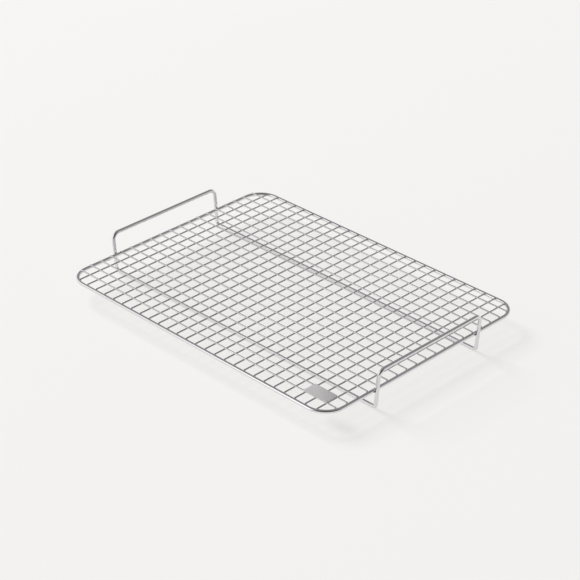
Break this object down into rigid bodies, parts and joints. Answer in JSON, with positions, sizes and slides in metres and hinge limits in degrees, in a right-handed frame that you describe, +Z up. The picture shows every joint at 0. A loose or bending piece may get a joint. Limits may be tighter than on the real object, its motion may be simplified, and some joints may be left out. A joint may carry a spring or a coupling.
{
  "type": "cooling rack",
  "caption": "Rectangular wire cooling rack: a welded square grid in a round-cornered rim, raised on two bent wires that form a handle, legs and runners at each end.",
  "frame": {"origin": "on the floor, under the middle of the rack", "axes": "+X along the rack towards its right-hand handle, +Y across it towards the back, +Z up; the blank plate is at the front right"},
  "size_m": [0.4174, 0.305, 0.0494],
  "materials": {
    "heavy_wire": "bright drawn steel wire, electropolished",
    "grid_wire": "bright drawn steel wire, electropolished",
    "plate": "satin rolled sheet, plain"
  },
  "bodies": {
    "root": {"rim_wire": "heavy_wire", "left_handle_wire": "heavy_wire", "right_handle_wire": "heavy_wire", "blank_plate": "plate", "cross_wire_01": "grid_wire", "cross_wire_02": "grid_wire", "cross_wire_03": "grid_wire", "cross_wire_04": "grid_wire", "cross_wire_05": "grid_wire", "cross_wire_06": "grid_wire", "cross_wire_07": "grid_wire", "cross_wire_08": "grid_wire", "cross_wire_09": "grid_wire", "cross_wire_10": "grid_wire", "cross_wire_11": "grid_wire", "cross_wire_12": "grid_wire", "cross_wire_13": "grid_wire", "cross_wire_14": "grid_wire", "cross_wire_15": "grid_wire", "cross_wire_16": "grid_wire", "cross_wire_17": "grid_wire", "cross_wire_18": "grid_wire", "cross_wire_19": "grid_wire", "cross_wire_20": "grid_wire", "cross_wire_21": "grid_wire", "cross_wire_22": "grid_wire", "cross_wire_23": "grid_wire", "cross_wire_24": "grid_wire", "cross_wire_25": "grid_wire", "cross_wire_26": "grid_wire", "long_wire_01": "grid_wire", "long_wire_02": "grid_wire", "long_wire_03": "grid_wire", "long_wire_04": "grid_wire", "long_wire_05": "grid_wire", "long_wire_06": "grid_wire", "long_wire_07": "grid_wire", "long_wire_08": "grid_wire", "long_wire_09": "grid_wire", "long_wire_10": "grid_wire", "long_wire_11": "grid_wire", "long_wire_12": "grid_wire", "long_wire_13": "grid_wire", "long_wire_14": "grid_wire", "long_wire_15": "grid_wire", "long_wire_16": "grid_wire", "long_wire_17": "grid_wire", "long_wire_18": "grid_wire", "long_wire_19": "grid_wire"}
  },
  "joints": []
}
